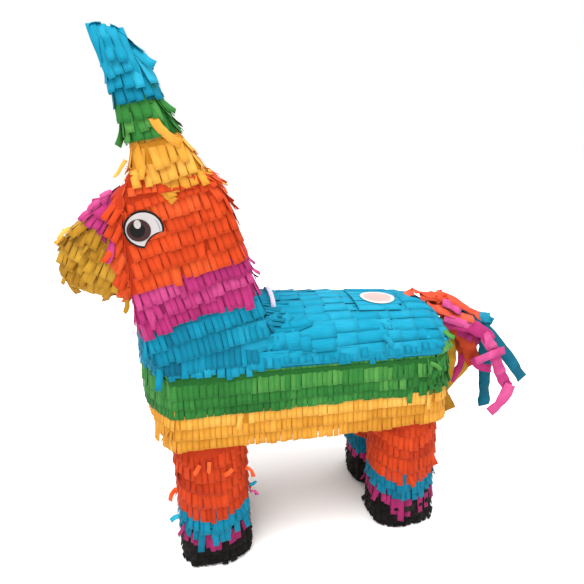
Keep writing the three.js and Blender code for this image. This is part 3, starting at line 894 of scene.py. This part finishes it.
def label():
    rim = print_ink("label_rim", "c2bebb", "b4b0ac", 0.55)
    middle = print_ink("label_middle", "b89f9c", "a68e8b", 0.55)
    draped_disc("label_rim", BODY, (243, -14), (21, 15.5), 2.0, 0.35, rim, "flap",
                ["blank_label"])
    draped_disc("label_middle", BODY, (243, -14), (16.5, 11.5), 2.15, 0.3, middle, "flap")


def woven(name, colour, deep):
    n = Nodes(name)
    place = n.add("ShaderNodeAttribute", attribute_name="crepe")
    warp = n.add("ShaderNodeTexWave", {"Vector": place.outputs["Vector"], "Scale": 1.6}, bands_direction="X")
    weft = n.add("ShaderNodeTexWave", {"Vector": place.outputs["Vector"], "Scale": 1.3}, bands_direction="Y")
    weave = n.math("MULTIPLY", warp.outputs["Fac"], weft.outputs["Fac"])
    n.link(n.ramp(weave, [(0.0, linear(deep)), (0.8, linear(colour))]), "Base Color")
    n.bump(0.5, 0.0003, weave)
    n.set(Roughness=0.45, Sheen_Weight=0.5)
    return n.material


def kraft():
    """Corrugated board: brown fibres, flecks and the faint lines of the flutes."""
    n = Nodes("kraft_board")
    place = n.add("ShaderNodeTexCoord").outputs["Object"]
    fibre = n.noise(place, 420.0, Detail=6.0, Roughness=0.7)
    stain = n.noise(place, 22.0, Detail=2.0)
    flutes = n.add("ShaderNodeTexWave", {"Vector": place, "Scale": 26.0, "Distortion": 0.6})
    tone = n.math("ADD", n.mix(fibre, 0.6, stain, 0.4), n.math("MULTIPLY", flutes.outputs["Fac"], 0.08))
    n.link(n.ramp(tone, [(0.3, linear("8d6a40")), (0.55, linear("b08a5c")), (0.8, linear("c7a574"))]),
           "Base Color")
    n.bump(0.3, 0.0005, n.math("ADD", n.math("MULTIPLY", flutes.outputs["Fac"], 0.6), fibre))
    n.set(Roughness=0.86)
    return n.material


def cardboard():
    board = CREPE["board"]
    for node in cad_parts.values():
        if not node.hide_render:
            node.data.materials.clear()
            node.data.materials.append(board)


# ---- ribbons: streamers, strap, loose scraps ----
def smooth_curve(route, step=3.0):
    """Points about step apart on a Catmull-Rom curve through the route."""
    route = [np.array(at(*p)) for p in route]
    padded = [2 * route[0] - route[1], *route, 2 * route[-1] - route[-2]]
    points = []
    for a, b, c, d in zip(padded, padded[1:], padded[2:], padded[3:]):
        count = max(2, int(np.linalg.norm(c - b) / step))
        for i in range(count):
            t = i / count
            points.append(0.5 * (2 * b + (c - a) * t + (2 * a - 5 * b + 4 * c - d) * t * t
                                 + (3 * b - a - 3 * c + d) * t ** 3))
    return np.array(points + [route[-1]])


def add_ribbon(paper, route, width, across, shade=0.5, thick=0.3, curl=1.2, turn=0.0):
    """A ribbon along the route; across is the direction over its width, turn how far it twists."""
    rng = np.random.default_rng(zlib.crc32(f"{paper.name}{len(paper.points)}".encode()))
    path = smooth_curve(route)
    t = np.linspace(0, 1, len(path))
    along = np.gradient(path, axis=0)
    along /= np.linalg.norm(along, axis=1)[:, None]
    side = np.cross(along, (0.15, 1, -0.2)) if across is None else np.array(across, float) + 0 * along
    side -= along * (side * along).sum(1)[:, None]
    side /= np.linalg.norm(side, axis=1)[:, None]
    faces = np.cross(along, side)
    crumple = np.interp(t, np.linspace(0, 1, 3 + len(path) // 3), rng.normal(0, 1, 3 + len(path) // 3))
    angle = (turn * t + 0.12 * np.sin(7 * t + rng.uniform(0, 6)) + 0.16 * crumple)[:, None]
    side, faces = side * np.cos(angle) + faces * np.sin(angle), faces * np.cos(angle) - side * np.sin(angle)
    cup = curl * np.sin(9 * t + rng.uniform(0, 6)) * (0.4 + 0.6 * t) + 0.35 * curl * crumple
    # painted light and shade: the tone rises and falls with the same crumples that bend the ribbon
    shade = shade + 0.07 * crumple
    half = width / 2 * (1 + 0.04 * np.sin(23 * t + rng.uniform(0, 6)))
    paper.strip(path, side, faces, half, cup, shade, (rng.uniform(0, 900), 0.0), thick)
    return float(np.linalg.norm(np.diff(path, axis=0), axis=1).sum())


# painted shade: the length after each crease is drawn darker by this much
CREASE_PAINTED_SHADE = 0.16           # how much darker the second length of a creased ribbon is


def streamer(name, colour, lengths, width, across, replaces=(), shade=0.5, hold="tail", curl=1.6):
    """One loose streamer, creased where one of its lengths ends and the next begins."""
    paper = Paper("streamer_" + name, colour)
    cut = 0.0
    for i, route in enumerate(lengths):
        # painted shade: every second length of a streamer is drawn darker
        cut += add_ribbon(paper, route, width, across, shade - CREASE_PAINTED_SHADE * (i % 2), curl=curl)
    if hold == "tail":
        piece = paper.piece("tail", replaces)
    else:
        piece = paper.piece(None, replaces)
        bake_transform(piece)


def gather():
    """The tied knot of the tail: crepe pleated round its waist."""
    name = "tail_gather"
    rng = np.random.default_rng(5)
    stations = [(-5, 0.86), (-3, 0.98), (0, 0.8), (3, 0.74), (6, 0.84), (9, 1.0), (11, 0.94)]
    count, pleats = 120, 19
    wobble = rng.uniform(0, 2 * math.pi, 3)
    points, faces, marks = [], [], []
    for dx, scale in stations:
        for k in range(count):
            angle = 2 * math.pi * k / count
            fold = 0.09 * math.sin(pleats * angle + 0.8 * math.sin(3 * angle + wobble[0]))
            fold += 0.04 * math.sin(7 * angle + wobble[1])
            r = scale * (1 + fold)
            points.append(at(326.5 + dx, 18 * r * math.cos(angle), 264 + 15 * r * math.sin(angle)) * MM)
            marks += [angle * 21, dx * 3.0, 0.45]
    for i in range(len(stations) - 1):
        for k in range(count):
            a, b = i * count + k, i * count + (k + 1) % count
            faces.append([a, b, b + count, a + count])
    for ring, flip in ((0, False), (len(stations) - 1, True)):
        hub = len(points)
        points.append(at(326.5 + stations[ring][0] + (1.5 if flip else -1.0), 0, 264) * MM)
        marks += [0.0, 0.0, 0.2]
        for k in range(count):
            a, b = ring * count + k, ring * count + (k + 1) % count
            faces.append([hub, a, b] if flip else [hub, b, a])
    mesh = bpy.data.meshes.new(name)
    mesh.from_pydata(points, [], faces)
    face_outwards(mesh)
    mark_crepe(mesh, marks)
    show(mesh, CREPE["orange"], "tail", ["tail_knot"])


def tail():
    gather()
    low = dict(hold="both", across=(0, 1, 0.1))
    tilted = dict(hold="both", across=(0, 0.7, 0.7))
    streamer("orange_top", "coral", [
        [(280, 6, 276), (288, 2, 279), (296, -3, 284)],
        [(295, -3, 284.5), (302, -3, 283), (309, -4, 279), (322, -5, 275), (334, -6, 271)]],
        14, shade=0.66, **low)
    streamer("orange_back", "coral", [
        [(301, -9, 279), (318, -10, 277), (338, -11, 273), (355, -12, 264), (371, -12, 254),
         (386, -12, 244)]],
        13, replaces=["tail_streamer_orange_1"], shade=0.5, **tilted)
    streamer("orange_side", "coral", [
        [(306, -20, 271), (318, -21, 265), (334, -22, 258), (351, -22, 252), (369, -22, 246)]],
        11, shade=0.6, **tilted)
    streamer("orange_under", "coral", [
        [(310, -16, 266), (326, -18, 257), (344, -18, 250), (367, -18, 244)]], 11, shade=0.4, **tilted)
    streamer("orange_fold", "coral", [
        [(326, -4, 277), (338, -6, 274), (350, -7, 267), (362, -8, 258), (374, -8, 250)]],
        10, (0, 0.6, 0.8), shade=0.68)
    streamer("pink_top", "pink", [
        [(327, -18, 271), (334, -20, 269), (340, -20, 264), (352, -20, 257)]], 10, (0, 0.5, 0.9), shade=0.7)
    streamer("pink_stripe", "pink", [
        [(326, -25, 254), (340, -27, 249), (354, -27, 243), (366, -26, 238)]], 10, (0, 0.3, 0.9), shade=0.68)
    streamer("magenta", "pink", [
        [(329, -22, 250), (349, -25, 244), (369, -25, 236), (384, -25, 227), (397, -25, 212)]],
        20, (0.1, 0.5, 0.8), replaces=["tail_streamer_pink_1"], shade=0.42)
    streamer("magenta_low", "pink", [
        [(337, -20, 241), (354, -21, 231), (366, -21, 224), (381, -21, 212)]], 13, None, shade=0.32)
    streamer("pink_long", "pink", [
        [(382, -28, 226), (390, -28, 214), (402, -28, 198)],
        [(398, -26.5, 202), (407, -26, 182), (416, -26, 162), (427, -26, 145)],
        [(429, -28, 150), (421, -28.5, 134), (413, -28, 122), (402, -27, 112)]], 15, None, shade=0.74)
    streamer("pink_loop", "pink", [
        [(412, -31, 203), (398, -31, 200), (384, -31, 196), (371, -31, 192)],
        [(372, -24, 194), (378, -24, 184), (388, -24, 178), (401, -24, 175)]], 10, None, shade=0.68)
    streamer("teal_fold", "teal", [
        [(370, -4, 249), (380, -7, 244), (392, -8, 241), (404, -8, 239)],
        [(404, -6, 241), (399, -5, 232), (393, -4, 225)]], 14, (0, 0.4, 0.9), shade=0.95)
    streamer("teal_rear", "teal", [
        [(366, 0, 250), (380, 0, 243), (393, 0, 231), (408, 0, 215), (426, 0, 195), (448, 0, 168),
         (470, 0, 138)]],
        16, None, replaces=["tail_streamer_teal_1"], shade=0.5, curl=0.6)
    streamer("teal_drop", "teal", [
        [(350, 10, 258), (376, 12, 240), (398, 12, 222), (411, 12, 198), (416, 12, 172), (418, 12, 148),
         (420, 12, 122), (422, 12, 96)]], 17, None, replaces=["tail_streamer_teal_2"], shade=0.42, curl=0.6)
    streamer("red", "red", [
        [(334, -16, 250), (346, -19, 240), (358, -20, 224), (368, -20, 205), (377, -20, 183)]], 19, None,
        replaces=["tail_streamer_red_1"], shade=0.5)
    streamer("red_rear", "red", [
        [(346, -12, 244), (356, -14, 230), (360, -14, 214), (364, -14, 196)]], 14, None, shade=0.36)
    streamer("mustard", "mustard", [
        [(338, -6, 250), (349, -8, 232), (351, -8, 212), (350, -8, 190), (347, -8, 168), (340, -8, 148)],
        [(337, -8, 150), (343, -8, 136), (351, -8, 122), (356, -8, 112)]], 16, None,
        replaces=["tail_streamer_mustard_1"], shade=0.46)
    streamer("mustard_rear", "mustard", [
        [(366, 8, 232), (384, 8, 210), (392, 8, 188), (386, 8, 172), (375, 8, 158), (362, 8, 144),
         (350, 8, 134)]],
        13, None, shade=0.55)
    streamer("magenta_thin", "pink", [
        [(356, -2, 236), (364, -2, 216), (369, -2, 196), (370, -2, 176), (364, -2, 164), (356, -2, 152)]],
        10, None, shade=0.4)


def strap():
    paper = Paper("strap_ribbon", "strap")
    x = out_x(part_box("hang_strap")[0] / MM) + 2.5
    half = [(-29, 262), (-29, 278), (-28, 291), (-20, 298.2), (-10, 300.4)]
    route = [(x, y, z) for y, z in half] + [(x, 0, 301)] + [(x, -y, z) for y, z in reversed(half)]
    add_ribbon(paper, route, 5.0, (1, 0, 0), thick=0.9, curl=0.0)
    paper.piece("root", ["hang_strap"])


# Loose scraps: colour, width, shade and route.
SCRAPS = [
    ("pink", 5.0, 0.7, [(-33, -50, 424), (-38, -52, 423), (-43, -53, 420)]),
    ("pink", 5.5, 0.66, [(-44, -46, 415), (-50, -48, 413), (-56, -49, 408)]),
    ("pink", 5.0, 0.6, [(-54, -44, 407), (-60, -46, 404), (-65, -47, 399)]),
    ("yellow", 5.0, 0.7, [(-78, -30, 389), (-84, -31, 386), (-89, -32, 380)]),
    ("yellow", 4.5, 0.6, [(-84, -27, 380), (-89, -28, 379), (-93, -29, 375)]),
    ("mustard", 4.5, 0.5, [(-86, -28, 345), (-90, -30, 340), (-92, -30, 335)]),
    ("mustard", 5.0, 0.45, [(-30, -62, 324), (-30, -64, 318), (-33, -65, 312)]),
    ("orange", 5.0, 0.62, [(-2, -70, 112), (-8, -71, 106), (-10, -71, 98)]),
    ("orange", 5.0, 0.66, [(72, -68, 122), (78, -69, 118), (80, -70, 110)]),
    ("orange", 4.5, 0.7, [(24, -73, 138), (21, -75, 134), (17, -75, 129)]),
    ("orange", 4.5, 0.7, [(34, -73, 140), (33, -75, 134), (32, -75, 128)]),
    ("orange", 4.5, 0.66, [(58, -72, 126), (53, -74, 123), (48, -74, 121)]),
    ("blue", 5.0, 0.66, [(-2, -66, 72), (-7, -67, 73), (-12, -68, 70)]),
    ("blue", 4.5, 0.4, [(76, -60, 92), (80, -62, 94), (83, -63, 98)]),
    ("pink", 5.0, 0.7, [(77, -52, 76), (82, -54, 77), (85, -55, 72)]),
    ("blue", 5.0, 0.66, [(226, -73, 262), (232, -76, 257), (236, -76, 250)]),
    ("green", 5.0, 0.66, [(284, -73, 222), (291, -75, 219), (296, -75, 213)]),
    ("green", 4.5, 0.7, [(296, -70, 232), (302, -72, 235), (307, -72, 241)]),
    ("blue", 7.0, 0.62, [(-10, -58, 540), (-4, -60, 537), (3, -62, 538), (8, -62, 534)]),
    ("green", 8.0, 0.6, [(8, -68, 500), (13, -72, 492), (17, -73, 482)]),
    ("yellow", 8.0, 0.6, [(10, -73, 487), (15, -75, 478), (23, -75, 470), (32, -73, 464)]),
    ("yellow", 3.5, 0.7, [(-16, -66, 452), (-20, -67, 447), (-24, -67, 441), (-28, -66, 438)]),
]


def scraps():
    by_colour = {}
    for colour, width, shade, route in SCRAPS:
        paper = by_colour.setdefault(colour, Paper(f"scraps_{colour}", colour))
        add_ribbon(paper, route, width, None, shade, thick=PAPER, curl=0.4, turn=0.5)
    for paper in by_colour.values():
        paper.piece("root")


CREPE["strap"] = woven("strap_weave", "e4daee", "b9acc8")
SLOTS["strap"] = "strap_ribbon"
CREPE["board"] = kraft()
SLOTS["board"] = "cardboard"

underlays()
body_rows()
rump_rows()
back_rows()
hinge_tissue()
hinge_board()
neck_rows()
ear_rows()
muzzle_rows()
leg_rows()
eyes()
nostril()
label()
tail()
strap()
scraps()
cardboard()


# ---- stage ----
def plain(name, colour, roughness):
    n = Nodes(name)
    n.set(Base_Color=linear(colour), Roughness=roughness)
    return n.material


def stage():
    mesh = bpy.data.meshes.new("floor")
    r = 14.0
    mesh.from_pydata([(-r, -r, 0), (r, -r, 0), (r, r, 0), (-r, r, 0)], [], [(0, 1, 2, 3)])
    floor = bpy.data.objects.new("floor", mesh)
    bpy.context.scene.collection.objects.link(floor)
    mesh.materials.append(plain("floor", "ffffff", 0.95))
    world = bpy.data.worlds.new("studio")
    bpy.context.scene.world = world
    world.use_nodes = True
    background = world.node_tree.nodes["Background"]
    background.inputs["Color"].default_value = (1.0, 1.0, 1.0, 1.0)
    background.inputs["Strength"].default_value = 1.0
    for name, place, size, power in (("key", (-0.6, -0.7, 2.5), 1.6, 68), ("fill", (0.9, 0.1, 2.4), 1.6, 22)):
        light = bpy.data.lights.new(name, "AREA")
        light.size = size
        light.energy = power
        lamp = bpy.data.objects.new(name, light)
        bpy.context.scene.collection.objects.link(lamp)
        lamp.location = place
        lamp.rotation_euler = (Vector((0, 0, 0.28)) - Vector(place)).to_track_quat("-Z", "Y").to_euler()


stage()
